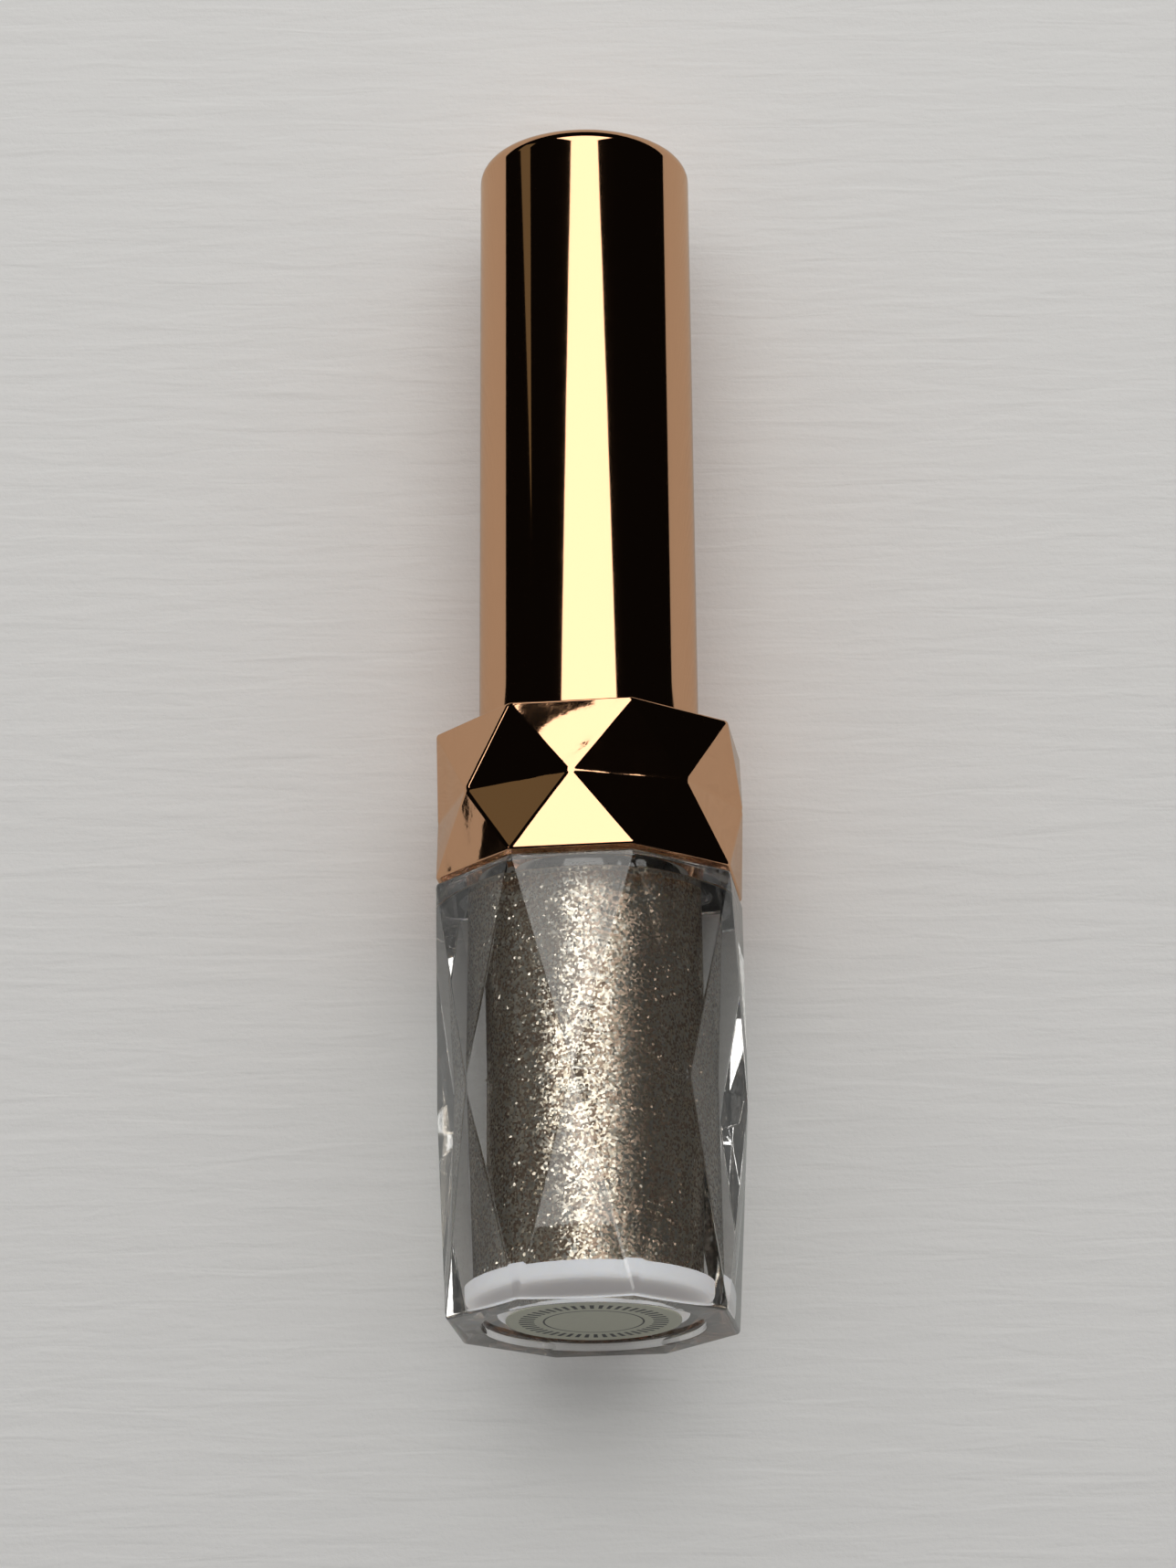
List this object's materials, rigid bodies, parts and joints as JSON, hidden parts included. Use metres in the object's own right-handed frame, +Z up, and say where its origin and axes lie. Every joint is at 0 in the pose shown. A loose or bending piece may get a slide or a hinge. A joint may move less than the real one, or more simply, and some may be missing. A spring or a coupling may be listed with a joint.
{
  "type": "lip gloss tube",
  "caption": "Lip gloss tube lying on its side: clear diamond-cut bottle with a round inner vial, faceted gold collar and a long round gold cap that unscrews and draws out a doe-foot wand.",
  "frame": {"origin": "middle of the tube's length, directly below its axis, on the surface that it lies on", "axes": "+Y along the tube from the bottle's base to the cap's closed end, +X to the right seen from above with the cap away from the viewer, +Z up"},
  "size_m": [0.0228, 0.0917, 0.0227],
  "materials": {
    "clear_bottle": "clear moulded acrylic, polished",
    "vial_plastic": "clear, slightly milky moulded plastic",
    "gloss": "thick liquid, taupe brown pearl with silver and gold glitter",
    "wiper_plastic": "soft natural polyethylene",
    "label_paper": "matt printed film, grey",
    "gasket_foam": "soft white elastomer",
    "weight_steel": "turned steel",
    "gold_cap": "vacuum-metallised plastic, mirror-polished rose gold",
    "gold_collar": "vacuum-metallised plastic, mirror-polished rose gold facets",
    "closure_plastic": "natural white polypropylene",
    "wand_plastic": "natural polypropylene, wet with gloss",
    "flock": "short dense flocking, stained by the gloss"
  },
  "bodies": {
    "bottle": {"bottle_shell": "clear_bottle", "inner_vial": "vial_plastic", "gloss_fill": "gloss", "wiper": "wiper_plastic", "base_label": "label_paper"},
    "gasket": {"closure_gasket": "gasket_foam"},
    "weight": {"cap_weight": "weight_steel"},
    "cap": {"cap_shell": "gold_cap", "collar": "gold_collar", "closure": "closure_plastic", "wand_rod": "wand_plastic", "applicator_core": "wand_plastic", "applicator_flock": "flock"}
  },
  "joints": [
    {"name": "wand_pull", "type": "slide", "parent": "bottle", "child": "gasket", "axis": [0, 1, 0], "range_m": [0, 0.06]},
    {"name": "thread_lift", "type": "slide", "parent": "gasket", "child": "weight", "axis": [0, 1, 0], "range_m": [0, 0.003]},
    {"name": "cap_turn", "type": "hinge", "parent": "weight", "child": "cap", "pos_m": [0, 0, 0.01135], "axis": [0, 1, 0], "range_deg": [0, 540]}
  ],
  "couplings": [
    {"joint": "cap_turn", "follows": "thread_lift", "rad_per_m": 3141.6}
  ]
}
